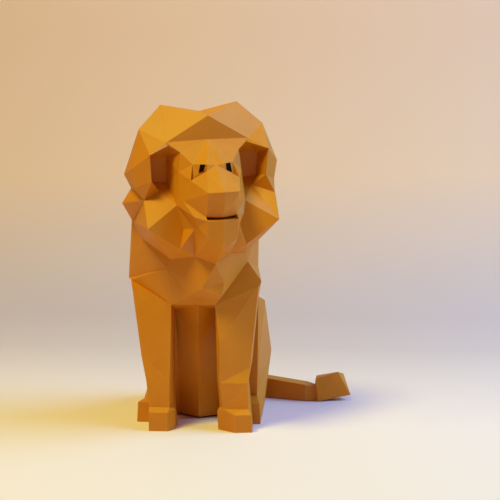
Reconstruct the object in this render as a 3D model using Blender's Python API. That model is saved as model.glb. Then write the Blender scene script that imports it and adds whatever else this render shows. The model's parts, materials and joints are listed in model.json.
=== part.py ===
"""A sitting papercraft lion, folded from plain card.

The lion is one hollow skin of flat facets. Each card piece is a group of facets that was cut
from one sheet and folded along the lines between them, and neighbouring pieces meet edge to
edge at glued seams. The corners of the skin are written once, in two frames. The head frame
turns and tips the head with its mane, and the body frame is the part's own.

Part frame: metres, +Z up, the lion faces -Y, its left side is +X, and the origin lies on the
floor, on the lion's middle plane, just inside the front edge of the base card.
"""
import math

import bmesh
import bpy
from mathutils import Matrix, Vector

# Card and seams
CARD = 0.0003
SEAM = 0.0003

# Head pose
HEAD_TURN = math.radians(22.0)
HEAD_TIP = math.radians(3.5)
HEAD_FORWARD = 30

# Each pupil's part of its eye socket, from the nose side to the temple side
PUPIL_SPANS = {"_l": (0.18, 0.72), "_r": (0.13, 0.50)}
# How far down the socket a pupil reaches
PUPIL_DEPTH = 0.72

# Height of the lion, and the unit of the corner lists below, which divide it into 320
LION_HEIGHT = 0.320
UNIT = LION_HEIGHT / 320

# Corners of the head and mane, in the head frame: half width, forward of the neck axis, height.
# A name that ends in * is a pair, one on each side.
HEAD_CORNERS = {
    "crest_mid": (0, -2, 310),
    "crest*": (39, -3, 318),
    "crest_side*": (63, 7, 295),
    "hood_mid": (0, 32, 304),
    "hood*": (41, 30, 280),
    "forehead": (0, 32, 281),
    "temple*": (29, 38, 270),
    "brow_mid": (0, 61, 256),
    "brow_in*": (8, 61, 257),
    "brow_out*": (20, 49, 258),
    "eye_low_in*": (10, 57, 249),
    "eye_low_out*": (22, 53, 243),
    "lid_in*": (9, 63, 251),
    "bridge*": (24, 59, 243),
    "temple_low*": (31, 41, 251),
    "cheek*": (30, 53, 224),
    "jaw*": (34, 44, 220),
    "nose_mid": (0, 94, 231),
    "nose*": (15, 90, 231),
    "lip_fold_mid": (0, 91, 216),
    "lip_fold*": (9, 89.5, 221),
    "lip_mid": (0, 86, 208),
    "lip*": (15, 81, 209),
    "mouth_mid": (0, 78, 206),
    "mouth*": (13, 73, 207),
    "chin_mid": (0, 90, 205),
    "chin*": (15, 87, 205),
    "chin_low_mid": (0, 89, 179),
    "chin_low*": (14, 86, 187),
    "jaw_low*": (20, 72, 200),
    "jaw_back*": (24, 72, 209),
    "throat*": (21, 60, 197),
    "lock_in*": (28, 47, 197),
    "lock_apex*": (47, 24, 234),
    "lock_out_l": (66, 39, 226),
    "lock_out_r": (-62, 25, 226),
    "lock_low*": (65, 56, 200),
    "ruff_tip*": (33, 52, 178),
    "ruff_in*": (18, 49, 170),
    "ruff_mid": (0, 60, 162),
    "ruff_side*": (38, 32, 168),
    "ruff_edge*": (41, 30, 159),
    "ruff_low_l": (10, 54, 143),
    "ruff_low_r": (-12.5, 54, 139),
    "ear_top*": (39, 31, 277),
    "ear_out*": (59, 40, 269),
    "ear_low*": (57, 38, 244),
    "ear_deep_in_top*": (37, 14, 267),
    "ear_deep_in_low*": (37, 12, 242),
    "ear_deep_out_top*": (55, 16, 265),
    "ear_deep_out_low*": (54, 14, 243),
    "mane_front*": (73, 24, 257),
    "mane_fold*": (70, 24, 239),
    "flare_top*": (76, -2, 252),
    "flare_notch*": (69, -2, 238),
    "flare_low*": (78, -2, 224),
    "flare_base*": (66, -12, 205),
    "mane_side*": (60, 4, 188),
    "mane_back_low*": (68, -22, 148),
    "nape_top": (0, -42, 306),
    "nape_top*": (34, -42, 300),
    "nape_side*": (62, -42, 262),
    "nape_low*": (60, -46, 205),
    "back_top": (0, -68, 262),
    "back_side*": (34, -66, 248),
    "back_low": (0, -74, 196),
    "back_low*": (34, -68, 190),
    "mane_tail": (0, -78, 140),
    "mane_tail*": (34, -66, 146),
}

# Corners of the body, in the part frame: half width, forward of the origin, height.
BODY_CORNERS = {
    "chest_low_mid": (3, 68, 121),
    "shoulder_l": (63.5, 54, 143),
    "shoulder_r": (-67, 47, 143),
    "flank*": (50, 8, 126),
    "haunch_top*": (62, -12, 117),
    "haunch_out_l": (65, -68, 57),
    "haunch_out_r": (-58, -68, 57),
    "thigh_top*": (62, 22, 88),
    "thigh_low_l": (58, 32, 50),
    "thigh_low_r": (-52, 32, 50),
    "thigh_low_in*": (40, 32, 52),
    "hock_l": (57, 27, 25),
    "hock_r": (-46, 27, 27),
    "hock_in_l": (47, 27, 25),
    "hock_in_r": (-37, 27, 27),
    "foot_top*": (61, 45, 20),
    "foot_top_in*": (49, 46, 20),
    "foot*": (62, 46, 0),
    "foot_in*": (49, 47, 0),
    "foot_back_in*": (40, 6, 0),
    "belly_mid": (-2, 27, 2),
    "belly*": (24, 9, 2),
    "base_side_l": (58, -68, 0),
    "base_side_r": (-50, -68, 0),
    "base_rear*": (42, -94, 0),
    "base_rear": (0, -100, 0),
    "back_mid": (0, -72, 122),
    "back*": (34, -64, 118),
    "rump*": (44, -94, 62),
    "rump_mid": (0, -100, 72),
    "tail_top*": (10, -103, 27),
    "tail_low*": (10, -103, 3),
}

# Corners of the chest and forelegs, which stand a little apart: outward, forward, height.
LEG_CORNERS = {
    "l": {
        "chest": (27, 79, 130),
        "leg_out": (61, 58, 138), "leg_in": (20, 71, 121),
        "leg_in_back": (21, 44, 113), "leg_out_back": (59, 36, 124),
        "knee_out": (53.5, 68, 60), "knee_front": (25, 77, 86), "knee_side": (22, 70, 78),
        "knee_in_back": (22, 48, 70), "knee_out_back": (54, 46, 64),
        "wrist_out": (52, 75, 46), "wrist_front": (25, 78, 46), "wrist_side": (22, 70, 46),
        "wrist_in_back": (22, 50, 46), "wrist_out_back": (51, 50, 46),
        "heel_out": (53, 77, 21), "heel_front": (28, 77, 21), "heel_side": (24, 69, 22),
        "heel_in_back": (23, 51, 23), "heel_out_back": (53, 51, 23),
        "paw_out": (56, 84, 17), "paw_front": (41, 87, 17), "paw_side": (22, 73, 18),
        "toe_out": (57, 84, 0), "toe_front": (41, 87, 0), "toe_side": (23, 73, 0),
        "toe_in_back": (23, 51, 0), "toe_out_back": (55, 51, 0),
    },
    "r": {
        "chest": (5, 79, 131),
        "leg_out": (64, 58, 139), "leg_in": (23, 71, 121),
        "leg_in_back": (23, 44, 113), "leg_out_back": (60, 36, 124),
        "knee_out": (52.5, 70, 70), "knee_front": (24, 76, 78), "knee_side": (22, 72, 74),
        "knee_in_back": (23, 48, 70), "knee_out_back": (52, 44, 70),
        "wrist_out": (47, 75, 46), "wrist_front": (24, 77, 46), "wrist_side": (22, 72, 46),
        "wrist_in_back": (23, 50, 46), "wrist_out_back": (46, 50, 46),
        "heel_out": (44, 78, 22), "heel_front": (24, 79, 22), "heel_side": (22, 70, 23),
        "heel_in_back": (22, 51, 24), "heel_out_back": (44, 51, 24),
        "paw_out": (43, 85, 18), "paw_front": (25, 86, 18), "paw_side": (19, 73, 19),
        "toe_out": (43, 86, 0), "toe_front": (25, 86, 0), "toe_side": (19, 73, 0),
        "toe_in_back": (20, 51, 0), "toe_out_back": (45, 51, 0),
    },
}

# Rings of the tail and its tuft, from the rump to the tip: each has the corners near the
# lion's left side and those on the far side, as sideways, forward, height.
TAIL_RINGS = {
    "bend": {"near_low": (24, -108, 1), "near_top": (23, -108, 26),
             "far_top": (4, -128, 26), "far_low": (4, -128, 1)},
    "half": {"near_low": (56, -88, 0.5), "near_top": (56, -88, 22),
             "far_top": (58, -108, 22), "far_low": (58, -108, 0.5)},
    "last": {"near_low": (102, -71, 0.5), "near_top": (101, -71, 18),
             "far_top": (104, -92, 18), "far_low": (104, -92, 0.5)},
    "end": {"near_low": (113, -73, 0.5), "near_top": (112, -73, 15),
            "far_top": (113, -91, 15), "far_low": (114, -91, 0.5)},
    "tuft": {"near_low": (116, -69, 0.5), "near_top": (113, -70, 25),
             "far_top": (113, -102, 23), "far_low": (117, -100, 1)},
}
TUFT_CORNERS = {
    "tuft_peak": (137, -76, 32),
    "tuft_peak_far": (143, -94, 27),
    "tuft_tip": (151, -80, 6),
    "tuft_tip_far": (146, -97, 8),
}

# Facets of each card piece. A name with * is taken once for each side of the lion.
HEAD_PIECES = {
    "face": [
        ("forehead", "temple*", "brow_out*"),
        ("forehead", "brow_out*", "pupil_top_out*", "pupil_top_in*", "brow_in*"),
        ("forehead", "brow_in*", "brow_mid"),
        ("temple*", "temple_low*", "bridge*", "brow_out*"),
        ("brow_out*", "eye_low_out*", "pupil_low_out*", "pupil_top_out*"),
        ("pupil_top_in*", "pupil_low_in*", "eye_low_in*", "brow_in*"),
        ("brow_out*", "bridge*", "eye_low_out*"),
        ("eye_low_in*", "lid_in*", "brow_in*"),
        ("eye_low_in*", "pupil_low_in*", "pupil_low_out*", "eye_low_out*"),
        ("eye_low_in*", "eye_low_out*", "bridge*", "lid_in*"),
        ("brow_mid", "brow_in*", "lid_in*"),
        ("brow_mid", "lid_in*", "nose_mid"),
        ("lid_in*", "bridge*", "nose*"),
        ("lid_in*", "nose*", "nose_mid"),
        ("nose_mid", "nose*", "lip_fold*", "lip_fold_mid"),
    ],
    "muzzle": [
        ("bridge*", "cheek*", "lip*", "nose*"),
        ("nose*", "lip*", "lip_fold*"),
        ("lip_fold*", "lip*", "lip_mid", "lip_fold_mid"),
        ("lip*", "mouth*", "mouth_mid", "lip_mid"),
    ],
    "eye_*": [
        ("pupil_top_in*", "pupil_top_out*", "pupil_low_out*", "pupil_low_in*"),
    ],
    "cheek_*": [
        ("temple_low*", "jaw*", "cheek*", "bridge*"),
        ("cheek*", "jaw*", "jaw_back*", "lip*"),
        ("jaw*", "lock_in*", "throat*", "jaw_low*", "jaw_back*"),
    ],
    "chin": [
        ("mouth*", "chin*", "chin_mid", "mouth_mid"),
        ("chin*", "chin_low*", "chin_low_mid", "chin_mid"),
        ("lip*", "jaw_back*", "chin*", "mouth*"),
        ("jaw_back*", "jaw_low*", "chin_low*", "chin*"),
    ],
    "hood": [
        ("hood_mid", "hood*", "temple*", "forehead"),
        ("hood_mid", "crest_mid", "crest*"),
        ("hood_mid", "crest*", "hood*"),
    ],
    "crest_*": [
        ("hood*", "crest*", "crest_side*"),
        ("hood*", "crest_side*", "ear_out*", "ear_top*"),
        ("crest_side*", "mane_front*", "ear_out*"),
    ],
    "ear_*": [
        ("hood*", "ear_top*", "ear_deep_in_top*", "temple*"),
        ("ear_top*", "ear_out*", "ear_deep_out_top*", "ear_deep_in_top*"),
        ("ear_out*", "ear_low*", "ear_deep_out_low*", "ear_deep_out_top*"),
        ("ear_deep_in_top*", "ear_deep_out_top*", "ear_deep_out_low*", "ear_deep_in_low*"),
        ("temple*", "ear_deep_in_top*", "ear_deep_in_low*", "temple_low*"),
        ("ear_low*", "lock_apex*", "ear_deep_out_low*"),
        ("ear_deep_in_low*", "ear_deep_out_low*", "lock_apex*"),
        ("ear_deep_in_low*", "lock_apex*", "jaw*"),
        ("temple_low*", "ear_deep_in_low*", "jaw*"),
    ],
    "mane_side_*": [
        ("ear_out*", "mane_front*", "mane_fold*", "ear_low*"),
        ("ear_low*", "mane_fold*", "lock_out*"),
        ("ear_low*", "lock_out*", "lock_apex*"),
        ("crest_side*", "flare_top*", "mane_front*"),
        ("mane_front*", "flare_top*", "flare_notch*", "mane_fold*"),
        ("mane_fold*", "flare_notch*", "flare_low*", "lock_out*"),
        ("lock_out*", "flare_low*", "flare_base*", "lock_low*"),
    ],
    "lock_*": [
        ("lock_apex*", "lock_out*", "lock_low*"),
        ("lock_apex*", "lock_low*", "lock_in*", "jaw*"),
        ("lock_low*", "ruff_tip*", "throat*", "lock_in*"),
    ],
    "beard": [
        ("throat*", "ruff_tip*", "ruff_in*"),
        ("jaw_low*", "throat*", "ruff_in*"),
        ("jaw_low*", "ruff_in*", "ruff_mid", "chin_low*"),
        ("chin_low*", "ruff_mid", "chin_low_mid"),
    ],
    "ruff": [
        ("ruff_tip*", "ruff_side*", "ruff_edge*", "ruff_in*"),
        ("ruff_in*", "ruff_edge*", "ruff_low*", "ruff_mid"),
        ("ruff_mid", "ruff_low_r", "ruff_low_l"),
    ],
    "mane_lower_*": [
        ("lock_low*", "ruff_side*", "ruff_tip*"),
        ("lock_low*", "mane_side*", "ruff_edge*", "ruff_side*"),
        ("lock_low*", "flare_base*", "mane_side*"),
        ("mane_side*", "mane_back_low*", "ruff_edge*"),
        ("flare_base*", "mane_back_low*", "mane_side*"),
    ],
    "mane_top": [
        ("crest_mid", "nape_top", "nape_top*", "crest*"),
        ("crest*", "nape_top*", "nape_side*", "crest_side*"),
    ],
    "mane_back_*": [
        ("crest_side*", "nape_side*", "flare_top*"),
        ("flare_top*", "nape_side*", "flare_notch*"),
        ("flare_notch*", "nape_side*", "nape_low*", "flare_low*"),
        ("flare_low*", "nape_low*", "flare_base*"),
        ("flare_base*", "nape_low*", "mane_back_low*"),
        ("nape_low*", "back_low*", "mane_tail*", "mane_back_low*"),
        ("nape_side*", "back_side*", "back_low*", "nape_low*"),
    ],
    "mane_rear": [
        ("nape_top", "back_top", "back_side*", "nape_top*"),
        ("nape_top*", "back_side*", "nape_side*"),
        ("back_top", "back_low", "back_low*", "back_side*"),
        ("back_low", "mane_tail", "mane_tail*", "back_low*"),
    ],
}

BODY_PIECES = {
    "chest": [
        ("ruff_low_l", "ruff_low_r", "chest_r", "chest_l"),
        ("ruff_low*", "ruff_edge*", "chest*"),
        ("chest_l", "chest_r", "chest_low_mid"),
        ("chest*", "leg_in*", "chest_low_mid"),
    ],
    "shoulder_*": [
        ("ruff_edge*", "chest*", "leg_in*"),
        ("ruff_edge*", "leg_in*", "shoulder*"),
        ("shoulder*", "leg_in*", "leg_out*"),
        ("ruff_edge*", "shoulder*", "mane_back_low*"),
        ("mane_back_low*", "shoulder*", "flank*"),
        ("shoulder*", "flank*", "leg_out_back*"),
        ("shoulder*", "leg_out_back*", "leg_out*"),
    ],
    "foreleg_*": [
        ("leg_out*", "leg_in*", "knee_front*", "knee_out*"),
        ("leg_in*", "knee_side*", "knee_front*"),
        ("leg_in*", "leg_in_back*", "knee_in_back*", "knee_side*"),
        ("leg_in_back*", "leg_out_back*", "knee_out_back*", "knee_in_back*"),
        ("leg_out_back*", "leg_out*", "knee_out*", "knee_out_back*"),
        ("knee_out*", "knee_front*", "wrist_front*", "wrist_out*"),
        ("knee_front*", "knee_side*", "wrist_side*", "wrist_front*"),
        ("knee_side*", "knee_in_back*", "wrist_in_back*", "wrist_side*"),
        ("knee_in_back*", "knee_out_back*", "wrist_out_back*", "wrist_in_back*"),
        ("knee_out_back*", "knee_out*", "wrist_out*", "wrist_out_back*"),
    ],
    "foreshin_*": [
        ("wrist_out*", "wrist_front*", "heel_front*", "heel_out*"),
        ("wrist_front*", "wrist_side*", "heel_side*", "heel_front*"),
        ("wrist_side*", "wrist_in_back*", "heel_in_back*", "heel_side*"),
        ("wrist_in_back*", "wrist_out_back*", "heel_out_back*", "heel_in_back*"),
        ("wrist_out_back*", "wrist_out*", "heel_out*", "heel_out_back*"),
    ],
    "forepaw_*": [
        ("heel_out*", "heel_front*", "paw_front*", "paw_out*"),
        ("heel_front*", "heel_side*", "paw_side*", "paw_front*"),
        ("paw_out*", "paw_front*", "toe_front*", "toe_out*"),
        ("paw_front*", "paw_side*", "toe_side*", "toe_front*"),
        ("heel_side*", "heel_in_back*", "toe_in_back*", "toe_side*", "paw_side*"),
        ("heel_in_back*", "heel_out_back*", "toe_out_back*", "toe_in_back*"),
        ("heel_out_back*", "heel_out*", "paw_out*", "toe_out*", "toe_out_back*"),
        ("toe_out*", "toe_front*", "toe_side*", "toe_in_back*", "toe_out_back*"),
    ],
    "belly": [
        ("chest_low_mid", "leg_in*", "leg_in_back*"),
        ("chest_low_mid", "leg_in_back*", "belly*", "belly_mid"),
    ],
    "thigh_*": [
        ("leg_out_back*", "flank*", "thigh_top*"),
        ("leg_out_back*", "thigh_top*", "thigh_low*"),
        ("leg_out_back*", "thigh_low*", "thigh_low_in*", "leg_in_back*"),
        ("leg_in_back*", "thigh_low_in*", "foot_back_in*", "belly*"),
        ("flank*", "haunch_top*", "thigh_top*"),
        ("thigh_low*", "hock*", "hock_in*", "thigh_low_in*"),
        ("thigh_low_in*", "hock_in*", "foot_back_in*"),
    ],
    "hind_paw_*": [
        ("hock*", "foot_top*", "foot_top_in*", "hock_in*"),
        ("foot_top*", "foot*", "foot_in*", "foot_top_in*"),
        ("hock_in*", "foot_top_in*", "foot_in*", "foot_back_in*"),
    ],
    "haunch_*": [
        ("haunch_top*", "haunch_out*", "thigh_low*", "thigh_top*"),
        ("haunch_out*", "hock*", "thigh_low*"),
        ("haunch_out*", "foot*", "foot_top*", "hock*"),
        ("haunch_out*", "base_side*", "foot*"),
    ],
    "base": [
        ("foot_in*", "foot*", "base_side*", "foot_back_in*"),
        ("foot_back_in_l", "base_side_l", "base_rear_l", "base_rear",
         "base_rear_r", "base_side_r", "foot_back_in_r"),
        ("foot_back_in_l", "belly_l", "foot_back_in_r"),
        ("belly_l", "belly_r", "foot_back_in_r"),
        ("belly_l", "belly_mid", "belly_r"),
    ],
    "back": [
        ("mane_tail", "back_mid", "back*", "mane_tail*"),
        ("mane_tail*", "back*", "haunch_top*"),
        ("mane_tail*", "haunch_top*", "flank*"),
        ("mane_tail*", "flank*", "mane_back_low*"),
    ],
    "rump": [
        ("back_mid", "rump_mid", "rump*", "back*"),
        ("back*", "rump*", "haunch_out*"),
        ("back*", "haunch_out*", "haunch_top*"),
        ("rump*", "base_rear*", "base_side*", "haunch_out*"),
        ("rump_mid", "tail_top_l", "tail_top_r"),
        ("rump_mid", "rump*", "tail_top*"),
        ("rump*", "base_rear*", "tail_low*", "tail_top*"),
        ("tail_low*", "base_rear*", "base_rear"),
        ("tail_low_l", "tail_low_r", "base_rear"),
    ],
}

TAIL_PIECES = {
    "tail_root": ("rump", "bend"),
    "tail_middle": ("bend", "half"),
    "tail_end": ("half", "last"),
    "tail_cuff": ("last", "end"),
}
TUFT_FACETS = [
    ("end_near_low", "end_near_top", "tuft_near_top", "tuft_near_low"),
    ("end_near_top", "end_far_top", "tuft_far_top", "tuft_near_top"),
    ("end_far_top", "end_far_low", "tuft_far_low", "tuft_far_top"),
    ("end_far_low", "end_near_low", "tuft_near_low", "tuft_far_low"),
    ("tuft_near_top", "tuft_peak", "tuft_near_low"),
    ("tuft_peak", "tuft_tip", "tuft_near_low"),
    ("tuft_peak", "tuft_peak_far", "tuft_tip"),
    ("tuft_near_top", "tuft_far_top", "tuft_peak"),
    ("tuft_far_top", "tuft_peak_far", "tuft_peak"),
    ("tuft_far_top", "tuft_far_low", "tuft_peak_far"),
    ("tuft_far_low", "tuft_tip_far", "tuft_peak_far"),
    ("tuft_peak_far", "tuft_tip_far", "tuft_tip"),
    ("tuft_far_low", "tuft_near_low", "tuft_tip", "tuft_tip_far"),
]

CARD_COLOUR = (0.60, 0.30, 0.09, 1.0)
PUPIL_COLOUR = (0.02, 0.015, 0.01, 1.0)


def sides(name):
    """The sides that a starred name stands for: +1 is the lion's left."""
    return ((1, "_l"), (-1, "_r")) if "*" in name else ((1, ""),)


def head_place(across, forward, up):
    """A place in the head frame, turned and tipped into the part frame."""
    x = across * math.cos(HEAD_TURN) + forward * math.sin(HEAD_TURN)
    y = across * math.sin(HEAD_TURN) - forward * math.cos(HEAD_TURN)
    z = up + across * math.tan(HEAD_TIP)
    return Vector((x, y - HEAD_FORWARD, z)) * UNIT


def body_place(across, forward, up):
    """A place in the part frame, given the way the lion faces."""
    return Vector((across, -forward, up)) * UNIT


def all_corners():
    """Every corner of the skin in the part frame, by name."""
    corners = {}
    for name, (half, forward, up) in HEAD_CORNERS.items():
        for side, ending in sides(name):
            corners[name.replace("*", ending)] = head_place(side * half, forward, up)
    for name, (half, forward, up) in BODY_CORNERS.items():
        for side, ending in sides(name):
            corners[name.replace("*", ending)] = body_place(side * half, forward, up)
    for letter, side in (("l", 1), ("r", -1)):
        for name, (out, forward, up) in LEG_CORNERS[letter].items():
            corners[name + "_" + letter] = body_place(side * out, forward, up)
    for ring, places in TAIL_RINGS.items():
        for name, place in places.items():
            corners[ring + "_" + name] = body_place(*place)
    for name, place in TUFT_CORNERS.items():
        corners[name] = body_place(*place)
    for ending in ("_l", "_r"):
        for level, inner, outer in (("top", "brow_in", "brow_out"),
                                    ("low", "eye_low_in", "eye_low_out")):
            for edge, share in zip(("in", "out"), PUPIL_SPANS[ending]):
                place = corners[inner + ending].lerp(corners[outer + ending], share)
                corners["pupil_" + level + "_" + edge + ending] = place
        for edge in ("in", "out"):
            top = corners["pupil_top_" + edge + ending]
            foot = corners["pupil_low_" + edge + ending]
            corners["pupil_low_" + edge + ending] = top.lerp(foot, PUPIL_DEPTH)
    for level in ("top", "low"):
        corners["rump_near_" + level] = corners["tail_" + level + "_l"]
        corners["rump_far_" + level] = corners["tail_" + level + "_r"]
    return corners


def tube_facets(first, second):
    """The four sides of one stretch of the tail."""
    ring = ("near_low", "near_top", "far_top", "far_low")
    facets = []
    for here, there in zip(ring, ring[1:] + ring[:1]):
        facets.append(tuple(first + "_" + n for n in (here, there))
                      + tuple(second + "_" + n for n in (there, here)))
    return facets


def all_pieces():
    """The facets of every card piece, by the piece's name."""
    pieces = {}
    for table in (HEAD_PIECES, BODY_PIECES):
        for name, facets in table.items():
            for _, ending in sides(name):
                mine = pieces.setdefault(name.replace("*", ending.strip("_")), [])
                for facet in facets:
                    if "*" in name:
                        mine.append(tuple(c.replace("*", ending) for c in facet))
                    elif any("*" in c for c in facet):
                        mine.append(tuple(c.replace("*", "_l") for c in facet))
                        mine.append(tuple(c.replace("*", "_r") for c in facet))
                    else:
                        mine.append(facet)
    for name, (first, second) in TAIL_PIECES.items():
        pieces[name] = tube_facets(first, second)
    pieces["tail_tuft"] = list(TUFT_FACETS)
    return pieces


def build_skin(corners, pieces):
    """One closed mesh of every facet, so that neighbours share their corners."""
    skin = bmesh.new()
    layer = skin.faces.layers.int.new("piece")
    points = {}
    for index, facets in enumerate(pieces.values()):
        for facet in facets:
            ring = []
            for name in facet:
                key = tuple(round(v, 7) for v in corners[name])
                if key not in points:
                    points[key] = skin.verts.new(corners[name])
                ring.append(points[key])
            skin.faces.new(ring)[layer] = index
    bmesh.ops.triangulate(skin, faces=skin.faces[:])
    bmesh.ops.recalc_face_normals(skin, faces=skin.faces[:])
    skin.normal_update()
    skin.verts.index_update()
    return skin


def solve_shift(rules):
    """The shortest shift that meets rules of the form direction, distance, weight."""
    rows = Matrix(((0.0,) * 3,) * 3)
    right = Vector((0.0, 0.0, 0.0))
    for direction, distance, weight in rules:
        for i in range(3):
            for j in range(3):
                rows[i][j] += weight * direction[i] * direction[j]
            right[i] += weight * distance * direction[i]
    for i in range(3):
        rows[i][i] += 1e-4
    return rows.inverted() @ right


def cap(shift, most):
    """The shift, no longer than most."""
    return shift * (most / shift.length) if shift.length > most else shift


def seams_at(vert, faces):
    """The piece's cut edges at a corner, each as the way inward along its facet."""
    seams = []
    for edge in vert.link_edges:
        mine = [f for f in edge.link_faces if f in faces]
        if len(mine) == 1:
            along = (edge.verts[1].co - edge.verts[0].co).normalized()
            inward = mine[0].normal.cross(along)
            if inward.dot(mine[0].calc_center_median() - edge.verts[0].co) < 0:
                inward = -inward
            seams.append(inward)
    return seams


def seam_shift(vert, faces):
    """Draws a corner of one piece back from its seams, along the piece's own facets."""
    rules = [(face.normal, 0.0, 1.0) for face in vert.link_faces if face in faces]
    rules.extend((inward, SEAM / 2, 1.0) for inward in seams_at(vert, faces))
    return cap(solve_shift(rules), 3 * SEAM)


def inner_shift(vert):
    """From an outer corner to the inner one, a card's thickness below every facet there."""
    rules = [(face.normal, -CARD, face.calc_area() ** 0.5) for face in vert.link_faces]
    return cap(solve_shift(rules), 3 * CARD)


def folded_card(name, skin, faces, shifts, material):
    """One card piece: its outer facets, the same facets inside, and the cut edges between."""
    card = bmesh.new()
    outer = {}
    inner = {}
    for face in faces:
        for vert in face.verts:
            if vert not in outer:
                place = vert.co + seam_shift(vert, faces)
                outer[vert] = card.verts.new(place)
                inner[vert] = card.verts.new(place + shifts[vert])
    for face in faces:
        card.faces.new([outer[v] for v in face.verts])
        card.faces.new([inner[v] for v in reversed(face.verts)])
        for loop in face.loops:
            mine = [f for f in loop.edge.link_faces if f in faces]
            if len(mine) == 1:
                a, b = loop.vert, loop.link_loop_next.vert
                if a.index < b.index:
                    card.faces.new((outer[b], outer[a], inner[b]))
                    card.faces.new((outer[a], inner[a], inner[b]))
                else:
                    card.faces.new((outer[b], outer[a], inner[a]))
                    card.faces.new((outer[b], inner[a], inner[b]))
    mesh = bpy.data.meshes.new(name)
    card.to_mesh(mesh)
    card.free()
    mesh.materials.append(material)
    piece = bpy.data.objects.new(name, mesh)
    bpy.context.scene.collection.objects.link(piece)
    return piece


def card_material(name, colour):
    """Matt card of one colour."""
    material = bpy.data.materials.new(name)
    material.use_nodes = True
    shader = material.node_tree.nodes["Principled BSDF"]
    shader.inputs["Base Color"].default_value = colour
    shader.inputs["Roughness"].default_value = 0.8
    shader.inputs["Metallic"].default_value = 0.0
    return material


def build():
    """Clears the scene and folds every piece of the lion."""
    for old in list(bpy.data.objects):
        bpy.data.objects.remove(old, do_unlink=True)
    corners = all_corners()
    pieces = all_pieces()
    skin = build_skin(corners, pieces)
    layer = skin.faces.layers.int["piece"]
    card = card_material("golden_card", CARD_COLOUR)
    pupil = card_material("black_card", PUPIL_COLOUR)
    shifts = {vert: inner_shift(vert) for vert in skin.verts}
    for index, name in enumerate(pieces):
        faces = {face for face in skin.faces if face[layer] == index}
        folded_card(name, skin, faces, shifts, pupil if name.startswith("eye") else card)
    skin.free()


build()
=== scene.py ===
# %% [markdown]
# # A papercraft lion, dressed in folded card
#
# The lion is a kit model: flat card is cut out, scored, folded and glued into a hollow skin of
# facets. The frame already holds every card piece at its true size, with its real thickness.
# This script gives the pieces what the scissors, the folds and the light add: slightly worn fold
# lines, panels that bow a little between them, and the grain of the card.

# %% Load the frame
import json
import math

import bmesh
import bpy
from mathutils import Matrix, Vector
from mathutils.bvhtree import BVHTree


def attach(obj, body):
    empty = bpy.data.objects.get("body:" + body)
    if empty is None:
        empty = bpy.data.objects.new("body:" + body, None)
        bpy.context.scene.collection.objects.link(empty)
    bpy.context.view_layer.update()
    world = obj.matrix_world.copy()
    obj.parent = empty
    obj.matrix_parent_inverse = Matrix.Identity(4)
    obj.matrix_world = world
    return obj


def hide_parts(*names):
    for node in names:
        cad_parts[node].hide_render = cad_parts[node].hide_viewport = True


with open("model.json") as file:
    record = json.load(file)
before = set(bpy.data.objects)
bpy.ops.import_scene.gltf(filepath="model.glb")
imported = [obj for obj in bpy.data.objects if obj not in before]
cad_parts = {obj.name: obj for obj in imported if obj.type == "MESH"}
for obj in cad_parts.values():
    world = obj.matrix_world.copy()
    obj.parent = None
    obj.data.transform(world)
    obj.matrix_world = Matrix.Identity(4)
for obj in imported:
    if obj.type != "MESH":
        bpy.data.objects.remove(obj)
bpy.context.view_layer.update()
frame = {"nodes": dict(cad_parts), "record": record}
nodes = frame["nodes"]
print("card pieces:", len(nodes))

# %% [markdown]
# ## Camera
#
# The photograph is taken from a little above the lion's chest and slightly from its left, with a
# long lens that keeps the facets free of distortion. A camera could be aimed with a constraint,
# but two plain numbers, its place and its tilt, keep the same view however the lion changes.

# %% Camera
CAMERA_PLACE = (0.1498, -1.1685, 0.2518)
CAMERA_PITCH = math.radians(86.0)
CAMERA_YAW = math.radians(5.0)
SENSOR_WIDTH = 36.0
LENS_TO_WIDTH = 2.3

camera_data = bpy.data.cameras.new("camera")
camera_data.sensor_width = SENSOR_WIDTH
camera_data.lens = SENSOR_WIDTH * LENS_TO_WIDTH
camera = bpy.data.objects.new("camera", camera_data)
camera.location = CAMERA_PLACE
camera.rotation_euler = (CAMERA_PITCH, 0.0, CAMERA_YAW)
bpy.context.scene.collection.objects.link(camera)
bpy.context.scene.camera = camera
print("lens:", round(camera_data.lens, 1), "mm")

# %% [markdown]
# ## Node graphs as expressions
#
# Materials and Geometry Nodes are both graphs of small sums. Wiring them by hand hides the
# formula, so a wire here is a small Python object: adding, subtracting, multiplying or dividing
# wires makes the Math node that does it. Every other node comes from one method.


# %% Wires and graphs
class Wire:
    """The output of a node, which takes part in sums."""

    def __init__(self, graph, socket):
        self.graph = graph
        self.socket = socket

    def math(self, operation, first, second):
        """The wire that leaves a Math node with two numbers or wires on it."""
        return self.graph.node("ShaderNodeMath", {"operation": operation}, {0: first, 1: second})

    def __add__(self, other):
        return self.math("ADD", self, other)

    def __sub__(self, other):
        return self.math("SUBTRACT", self, other)

    def __mul__(self, other):
        return self.math("MULTIPLY", self, other)

    def __truediv__(self, other):
        return self.math("DIVIDE", self, other)

    def __radd__(self, other):
        return self.math("ADD", other, self)

    def __rsub__(self, other):
        return self.math("SUBTRACT", other, self)

    def __rmul__(self, other):
        return self.math("MULTIPLY", other, self)

    def clamped(self):
        """The same value, held between 0 and 1."""
        settings = {"operation": "MULTIPLY", "use_clamp": True}
        return self.graph.node("ShaderNodeMath", settings, {0: self, 1: 1.0})

    def risen(self, start, gain):
        """Nothing below a start, and a climb of this gain above it, up to 1."""
        return ((self - start) * gain).clamped()


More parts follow.
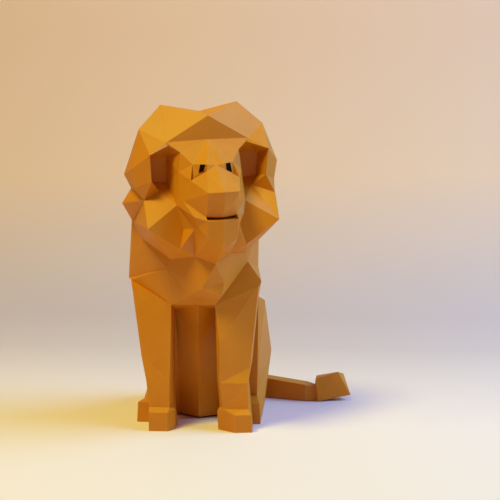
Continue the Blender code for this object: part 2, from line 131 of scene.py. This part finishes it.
class Graph:
    """A node tree, filled one node at a time."""

    def __init__(self, tree):
        self.tree = tree

    def node(self, kind, settings=None, values=None, output=0):
        """Makes a node, sets it up, feeds its sockets, and returns the wire that leaves it."""
        made = self.tree.nodes.new(kind)
        for name, value in (settings or {}).items():
            setattr(made, name, value)
        for key, value in (values or {}).items():
            if isinstance(value, Wire):
                self.tree.links.new(value.socket, made.inputs[key])
            else:
                made.inputs[key].default_value = value
        return Wire(self, made.outputs[output])

    def mixed(self, amount, first, second):
        """A blend of two colours."""
        return self.node("ShaderNodeMix", {"data_type": "RGBA"}, {0: amount, 6: first, 7: second}, 2)


# %% [markdown]
# ## The finish of the card
#
# The card is dyed through, golden brown and matt with a slight sheen. Close up it has three
# scales of change: cloudy patches a few centimetres wide where the dye took unevenly, short
# fibres that lie mostly one way, and fold lines where the surface was scored, so that the paler
# core shows a little. An image could hold all this, but noise on Object coordinates runs across
# the seams without stretching, as the pattern of one big sheet does. The black card of the pupils
# has the same structure with other colours and hardly any sheen.

# %% Card colours and measures
GOLDEN_CARD = {
    "base": (0.620, 0.204, 0.003, 1.0), "cloud": (0.565, 0.178, 0.002, 1.0),
    "fibre": (0.675, 0.248, 0.006, 1.0), "core": (0.740, 0.420, 0.120, 1.0),
    "sheen": 0.42, "rough": 0.46,
}
BLACK_CARD = {
    "base": (0.010, 0.006, 0.005, 1.0), "cloud": (0.008, 0.005, 0.004, 1.0),
    "fibre": (0.016, 0.011, 0.009, 1.0), "core": (0.030, 0.022, 0.016, 1.0),
    "sheen": 0.02, "rough": 0.90,
}
CLOUDS_PER_METRE = 34.0
CLOUD_RISE = (0.42, 3.0)
CLOUD_SHARE = 0.70
FIBRES_PER_METRE = 520.0
FIBRE_STRETCH = (1.0, 1.0, 0.22)
FIBRE_RISE = (0.50, 2.2)
FIBRE_SHARE = 0.45
FIBRE_ROUGHNESS = 0.14
CREASE_REACH = 0.0006
CREASE_GAIN = 2.4
CREASE_LOSS = 0.7
CREASE_SHARE = 0.22
CREASE_ROUGHNESS = 0.08
GRAIN_STRENGTH = 0.15
GRAIN_DEPTH = 0.0004
GRAIN_OF_CLOUDS = 1.5
print("fibres every", round(1000 / FIBRES_PER_METRE, 1), "mm")

# %% [markdown]
# ## One function for both cards
#
# Only a few of the shader's sockets may change over a surface: here its colour, its roughness and
# its normal, for the grain. The sheen is one number for a whole card, so it is set on the shader.

# %% Card finish


def new_finish(name):
    """A material with its graph and its one shader."""
    material = bpy.data.materials.new(name)
    material.use_nodes = True
    shader = material.node_tree.nodes["Principled BSDF"]
    return material, Graph(material.node_tree), shader


def feed(graph, shader, name, wire):
    """Joins a wire to one of the shader's sockets."""
    graph.tree.links.new(wire.socket, shader.inputs[name])


def card_finish(name, card):
    """Dyed card: cloudy patches, fibres, and folds where the paler core shows."""
    material, graph, shader = new_finish(name)
    shader.inputs["Specular IOR Level"].default_value = card["sheen"]
    place = graph.node("ShaderNodeTexCoord", output=3)
    clouds = graph.node("ShaderNodeTexNoise", None,
                        {"Vector": place, "Scale": CLOUDS_PER_METRE, "Detail": 3.0})
    along = graph.node("ShaderNodeMapping", None, {"Vector": place, "Scale": FIBRE_STRETCH})
    fibres = graph.node("ShaderNodeTexNoise", None,
                        {"Vector": along, "Scale": FIBRES_PER_METRE, "Detail": 5.0,
                         "Roughness": 0.65, "Distortion": 0.4})
    distance = graph.node("ShaderNodeAttribute", {"attribute_name": "from_fold"}, output=2)
    crease = (1.0 - distance / CREASE_REACH).clamped()
    worn = (crease * (fibres * CREASE_GAIN - CREASE_LOSS)).clamped()
    cloudy = clouds.risen(*CLOUD_RISE)
    flecked = fibres.risen(*FIBRE_RISE)
    colour = graph.mixed(cloudy * CLOUD_SHARE, card["base"], card["cloud"])
    colour = graph.mixed(flecked * FIBRE_SHARE, colour, card["fibre"])
    colour = graph.mixed(worn * CREASE_SHARE, colour, card["core"])
    feed(graph, shader, "Base Color", colour)
    rough = card["rough"] + fibres * FIBRE_ROUGHNESS + crease * CREASE_ROUGHNESS
    feed(graph, shader, "Roughness", rough)
    grain = graph.node("ShaderNodeBump", None,
                       {"Strength": GRAIN_STRENGTH, "Distance": GRAIN_DEPTH,
                        "Height": fibres + clouds * GRAIN_OF_CLOUDS})
    feed(graph, shader, "Normal", grain)
    return material


golden = card_finish("golden_card_finish", GOLDEN_CARD)
black = card_finish("black_card_finish", BLACK_CARD)
print("finishes:", golden.name, black.name)

# %% [markdown]
# ## Which side of the card is out
#
# Every piece is a closed sheet with an outer and an inner face. Both have to bow the same way,
# so each facet needs to know its side. A ray from a facet crosses the lion's walls: from open
# air it meets an even number of card walls, and from the hollow an odd one. Each wall has two
# faces, and a ray can slip through a glued joint, so several rays vote.

# %% Outside or inside
PROBES = [Vector(v).normalized() for v in
          ((0.31, 0.17, 0.93), (-0.42, 0.88, 0.21), (0.83, -0.36, 0.42), (-0.61, -0.72, 0.34),
           (0.12, 0.55, -0.83), (-0.93, 0.11, 0.35), (0.47, 0.79, 0.39))]
START_OFF_FACE = 0.0001
STEP_PAST_HIT = 0.00002
MOST_HITS = 60
FACES_OF_TWO_WALLS = 4

all_points = []
all_facets = []
for node in nodes.values():
    start = len(all_points)
    all_points.extend(v.co.copy() for v in node.data.vertices)
    all_facets.extend([start + i for i in p.vertices] for p in node.data.polygons)
skin = BVHTree.FromPolygons(all_points, all_facets)


def faces_crossed(point, direction):
    """How many faces a ray meets on its way out of the lion."""
    count = 0
    here = point
    for _ in range(MOST_HITS):
        hit = skin.ray_cast(here, direction)[0]
        if hit is None:
            break
        count += 1
        here = hit + direction * STEP_PAST_HIT
    return count


def faces_out(centre, normal):
    """True if a facet looks at open air, by the vote of several rays."""
    start = centre + normal * START_OFF_FACE
    votes = 0
    for probe in PROBES:
        ray = probe if probe.dot(normal) > 0 else -probe
        votes += 1 if faces_crossed(start, ray) % FACES_OF_TWO_WALLS == 0 else -1
    return votes > 0


print("faces of the skin:", len(all_facets))


# %% [markdown]
# ## Pressing the folds
#
# A narrow strip beside a scored fold is pressed down, and the card looks worn there. Each piece
# is copied from the frame, its triangles are joined back into the facets that were cut, and each
# facet gets a narrow border, which keeps the wear to one width, whatever the facet's size. The
# joints of a facet that bends only a little are shaded smooth, and real folds stay sharp.
#
# The frame leaves a gap at each glued joint, which would show as a dark line. Glue draws the two
# pieces together, so each cut edge moves a tenth of a millimetre towards its neighbour. The cut
# edges are the only faces as narrow as the card is thick, and that is how they are found.

# %% Measures of a pressed sheet
WELD = 1e-6
FLAT_ENOUGH = math.radians(7.0)
SHARP_FROM = math.radians(9.0)
BORDER = 0.0009
BORDER_SHARE = 0.4
WIDEST_CUT_EDGE = 0.0008
JOINT_TAKEN_UP = 0.00011
LEAST_ALONG = 0.5


def strip_width(face):
    """The width of the long strip that has this face's area and perimeter."""
    return 2 * face.calc_area() / face.calc_perimeter()


print("border:", BORDER * 1000, "mm, joint taken up:", JOINT_TAKEN_UP * 1000, "mm on each side")


# %% Draw the cut edges together
def draw_together(sheet):
    """Moves a piece's cut edges towards its neighbours, so that the joint is a hairline."""
    moves = {}
    for vert in sheet.verts:
        cuts = [face.normal for face in vert.link_faces if strip_width(face) < WIDEST_CUT_EDGE]
        if cuts:
            along = sum(cuts, Vector()).normalized()
            least = max(LEAST_ALONG, min(along.dot(normal) for normal in cuts))
            moves[vert] = along * (JOINT_TAKEN_UP / least)
    for vert, move in moves.items():
        vert.co += move
    sheet.normal_update()


# %% Press the folds of one piece
def pressed_mesh(node):
    """A copy of a card piece with bordered facets, sharp folds and its sides marked."""
    sheet = bmesh.new()
    sheet.from_mesh(node.data)
    bmesh.ops.remove_doubles(sheet, verts=sheet.verts, dist=WELD)
    bmesh.ops.dissolve_limit(sheet, angle_limit=FLAT_ENOUGH, verts=sheet.verts, edges=sheet.edges)
    draw_together(sheet)
    side = sheet.faces.layers.float.new("side")
    crease = sheet.verts.layers.float.new("crease")
    for face in sheet.faces:
        out = faces_out(face.calc_center_median(), face.normal)
        face[side] = 1.0 if out else -1.0
    for vert in sheet.verts:
        vert[crease] = 1.0
    for face in sheet.faces[:]:
        if strip_width(face) > WIDEST_CUT_EDGE:
            width = min(BORDER, BORDER_SHARE * strip_width(face))
            bmesh.ops.inset_individual(sheet, faces=[face], thickness=width, use_even_offset=True)
            for vert in face.verts:
                vert[crease] = 0.0
    bmesh.ops.triangulate(sheet, faces=sheet.faces[:])
    for face in sheet.faces:
        face.smooth = True
    for edge in sheet.edges:
        edge.smooth = edge.is_manifold and edge.calc_face_angle() < SHARP_FROM
    mesh = bpy.data.meshes.new(node.name + "_pressed")
    sheet.to_mesh(mesh)
    sheet.free()
    return mesh


# %% [markdown]
# ## Letting the panels bow
#
# Between its folds a panel of card is never quite flat: it gives a fraction of a millimetre,
# more in the middle of a big facet than near a fold. That is a rule, so Geometry Nodes follow
# it: each piece is cut finer, the distance to the nearest fold is measured, and a slow noise
# pushes the card out or in by an amount that grows with that distance.

# %% The bowing tree
BOW = 0.00022
BOW_REACH = 0.014
BOWS_PER_METRE = 26.0
CUTS = 2
SEED = 7.0
ON_FOLD = 0.9


def bowing_tree():
    """Cuts a sheet finer, bows it between its folds, and notes how far each point is from one."""
    tree = bpy.data.node_groups.new("bowed card", "GeometryNodeTree")
    tree.interface.new_socket("Sheet", in_out="INPUT", socket_type="NodeSocketGeometry")
    sizes = (("Bow", BOW), ("Reach", BOW_REACH), ("Bows per metre", BOWS_PER_METRE), ("Seed", SEED))
    for name, value in sizes:
        tree.interface.new_socket(name, in_out="INPUT", socket_type="NodeSocketFloat")
    tree.interface.new_socket("Finish", in_out="INPUT", socket_type="NodeSocketMaterial")
    tree.interface.new_socket("Sheet", in_out="OUTPUT", socket_type="NodeSocketGeometry")
    graph = Graph(tree)
    entry = tree.nodes.new("NodeGroupInput")
    given = {name: Wire(graph, socket) for name, socket in entry.outputs.items() if name}
    crease = graph.node("GeometryNodeInputNamedAttribute", {"data_type": "FLOAT"},
                        {"Name": "crease"})
    side = graph.node("GeometryNodeInputNamedAttribute", {"data_type": "FLOAT"}, {"Name": "side"})
    is_fold = graph.node("FunctionNodeCompare", {"data_type": "FLOAT", "operation": "GREATER_THAN"},
                         {0: crease, 1: ON_FOLD})
    folds = graph.node("GeometryNodeSeparateGeometry", {"domain": "EDGE"},
                       {"Geometry": given["Sheet"], "Selection": is_fold})
    finer = graph.node("GeometryNodeSubdivideMesh", None, {"Mesh": given["Sheet"], "Level": CUTS})
    distance = graph.node("GeometryNodeProximity", {"target_element": "EDGES"},
                          {0: folds}, output=1)
    noise = graph.node("ShaderNodeTexNoise", {"noise_dimensions": "4D"},
                       {"W": given["Seed"], "Scale": given["Bows per metre"], "Detail": 1.0})
    grown = (distance / given["Reach"]).clamped()
    amount = (noise - 0.5) * 2.0 * given["Bow"] * grown * side
    normal = graph.node("GeometryNodeInputNormal")
    push = graph.node("ShaderNodeVectorMath", {"operation": "SCALE"}, {0: normal, 3: amount})
    bowed = graph.node("GeometryNodeSetPosition", None, {"Geometry": finer, "Offset": push})
    noted = graph.node("GeometryNodeStoreNamedAttribute",
                       {"data_type": "FLOAT", "domain": "POINT"},
                       {"Geometry": bowed, "Name": "from_fold", "Value": distance})
    whole = graph.node("GeometryNodeRealizeInstances", None, {"Geometry": noted})
    painted = graph.node("GeometryNodeSetMaterial", None,
                         {"Geometry": whole, "Material": given["Finish"]})
    leave = tree.nodes.new("NodeGroupOutput")
    tree.links.new(painted.socket, leave.inputs[0])
    return tree, dict(sizes)


bow_tree, bow_sizes = bowing_tree()
print("bowing tree:", len(bow_tree.nodes), "nodes")


# %% Bow one mesh
def bowed_mesh(name, mesh, finish):
    """Runs the bowing tree on a mesh and returns the result as a plain one."""
    carrier = bpy.data.objects.new(name + "_carrier", mesh)
    bpy.context.scene.collection.objects.link(carrier)
    mesh.materials.append(finish)
    modifier = carrier.modifiers.new("bow", "NODES")
    modifier.node_group = bow_tree
    for item in bow_tree.interface.items_tree:
        if item.in_out == "INPUT" and item.name in bow_sizes:
            modifier[item.identifier] = bow_sizes[item.name]
        if item.in_out == "INPUT" and item.name == "Finish":
            modifier[item.identifier] = finish
    evaluated = carrier.evaluated_get(bpy.context.evaluated_depsgraph_get())
    result = bpy.data.meshes.new_from_object(evaluated)
    carrier.modifiers.remove(modifier)
    bpy.data.objects.remove(carrier, do_unlink=True)
    return result


# %% [markdown]
# ## Dressing every piece
#
# The same steps dress all the pieces. Each dressed piece takes the place of its plain one and
# rides on the lion's one body.

# %% Dress the pieces
SLOTS = {part["node"]: part["material_slot"] for part in frame["record"]["subparts"]}
triangles = 0
for name, node in sorted(nodes.items()):
    is_black = SLOTS[name] == "black_card"
    finish = black if is_black else golden
    result = bowed_mesh(name, pressed_mesh(node), finish)
    piece = bpy.data.objects.new("card_" + name, result)
    bpy.context.scene.collection.objects.link(piece)
    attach(piece, "root")
    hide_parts(name)
    triangles += sum(len(p.vertices) - 2 for p in result.polygons)
print("dressed triangles:", triangles)

# %% [markdown]
# ## Floor and backdrop
#
# The lion stands on a pale sheet that runs back and curves up into the backdrop, so no horizon
# line crosses the picture. A flat floor with a grey world behind would show an edge, so the
# sheet is one swept profile: a flat run, a quarter of a circle, and a wall.

# %% Pale sheet
SHEET_HALF_WIDTH = 3.0
SHEET_FRONT = -2.6
SHEET_BEND = 0.75
SHEET_RADIUS = 0.55
SHEET_STEPS = 24
SHEET_TOP = 2.6

profile = [(SHEET_FRONT, 0.0), (SHEET_BEND, 0.0)]
for step in range(1, SHEET_STEPS + 1):
    turn = math.pi / 2 * step / SHEET_STEPS
    profile.append((SHEET_BEND + SHEET_RADIUS * math.sin(turn),
                    SHEET_RADIUS * (1 - math.cos(turn))))
profile.append((SHEET_BEND + SHEET_RADIUS, SHEET_TOP))
sheet_points = [(x, y, z) for y, z in profile for x in (-SHEET_HALF_WIDTH, SHEET_HALF_WIDTH)]
sheet_faces = [(2 * i, 2 * i + 1, 2 * i + 3, 2 * i + 2) for i in range(len(profile) - 1)]
sheet_mesh = bpy.data.meshes.new("pale_sheet")
sheet_mesh.from_pydata(sheet_points, [], sheet_faces)
for polygon in sheet_mesh.polygons:
    polygon.use_smooth = True
pale_sheet = bpy.data.objects.new("pale_sheet", sheet_mesh)
bpy.context.scene.collection.objects.link(pale_sheet)
print("profile points:", len(profile))

# %% [markdown]
# ## Finish of the sheet
#
# The sheet carries painted shade: it is darker behind the lion, and darker and warmer higher up,
# where the lamps' light falls off, as paper hung in a corner of a room looks. Both changes follow
# its own coordinates, so they stay in place from every side.

# %% Sheet finish
SHEET_COLOUR = (0.87, 0.69, 0.83, 1.0)
# Painted shade: the sheet's colour behind the lion and higher up, where the lamps' light falls off.
SHEET_BACK_PAINTED_SHADE = (0.65, 0.51, 0.63, 1.0)
SHEET_HIGH_PAINTED_SHADE = (0.92, 0.60, 0.52, 1.0)
BACK_SHADE_FADE = (-0.05, 0.45)
HIGH_SHADE_FADE = (0.00, 0.24)
SHEET_ROUGHNESS = 0.9


def faded(along, ends):
    """A climb from 0 to 1 between two places on the sheet."""
    return ((along - ends[0]) / (ends[1] - ends[0])).clamped()


sheet_finish, sheet_graph, sheet_shader = new_finish("pale_sheet_finish")
sheet_place = sheet_graph.node("ShaderNodeTexCoord", output=3)
back_along = sheet_graph.node("ShaderNodeSeparateXYZ", None, {0: sheet_place}, 1)
up_along = sheet_graph.node("ShaderNodeSeparateXYZ", None, {0: sheet_place}, 2)
# The sheet's colour is mixed towards painted shade at the back and at the top.
sheet_colour = sheet_graph.mixed(faded(back_along, BACK_SHADE_FADE), SHEET_COLOUR, SHEET_BACK_PAINTED_SHADE)
sheet_colour = sheet_graph.mixed(faded(up_along, HIGH_SHADE_FADE), sheet_colour, SHEET_HIGH_PAINTED_SHADE)
feed(sheet_graph, sheet_shader, "Base Color", sheet_colour)
sheet_shader.inputs["Roughness"].default_value = SHEET_ROUGHNESS
sheet_mesh.materials.append(sheet_finish)
print("sheet finish:", sheet_finish.name)

# %% [markdown]
# ## Studio light
#
# Two lamps do the work. A small warm one high on the left gives each facet its own tone, which is
# what makes folded card readable. A wide cool one on the right acts as a window: the card mirrors
# it faintly, so the facets that turn that way get a pale veil. A third lamp could fill the
# hollows, but a weak world does that evenly, and the light that the facets throw on each other
# turns it golden. The camera sees a paler backdrop in place of that world.

# %% Lamps
LAMPS = {
    "key": {"place": (-0.56, -0.70, 1.84), "size": 0.6, "power": 27.0, "colour": (1.0, 1.06, 0.20)},
    "window": {"place": (1.45, 0.10, 1.30), "size": 1.8, "power": 39.0, "colour": (0.30, 0.66, 1.0)},
}
AIM = Vector((0.0, -0.03, 0.16))

for name, lamp in LAMPS.items():
    data = bpy.data.lights.new(name, "AREA")
    data.shape = "DISK"
    data.size = lamp["size"]
    data.energy = lamp["power"]
    data.color = lamp["colour"]
    light = bpy.data.objects.new(name, data)
    light.location = lamp["place"]
    light.rotation_euler = (AIM - Vector(lamp["place"])).to_track_quat("-Z", "Y").to_euler()
    bpy.context.scene.collection.objects.link(light)

print("lamps:", ", ".join(LAMPS))

# %% World
WORLD_COLOUR = (1.0, 0.60, 0.40, 1.0)
WORLD_STRENGTH = 0.21
WORLD_SEEN = (0.66, 0.55, 0.44, 1.0)

world = bpy.data.worlds.new("studio")
world.use_nodes = True
background = world.node_tree.nodes["Background"]
background.inputs["Color"].default_value = WORLD_COLOUR
background.inputs["Strength"].default_value = WORLD_STRENGTH
seen = world.node_tree.nodes.new("ShaderNodeBackground")
seen.inputs["Color"].default_value = WORLD_SEEN
ray = world.node_tree.nodes.new("ShaderNodeLightPath")
either = world.node_tree.nodes.new("ShaderNodeMixShader")
world_out = world.node_tree.nodes["World Output"]
world.node_tree.links.new(ray.outputs["Is Camera Ray"], either.inputs[0])
world.node_tree.links.new(background.outputs[0], either.inputs[1])
world.node_tree.links.new(seen.outputs[0], either.inputs[2])
world.node_tree.links.new(either.outputs[0], world_out.inputs["Surface"])
bpy.context.scene.world = world
bpy.context.scene.view_settings.view_transform = "Standard"
print("world strength:", WORLD_STRENGTH)
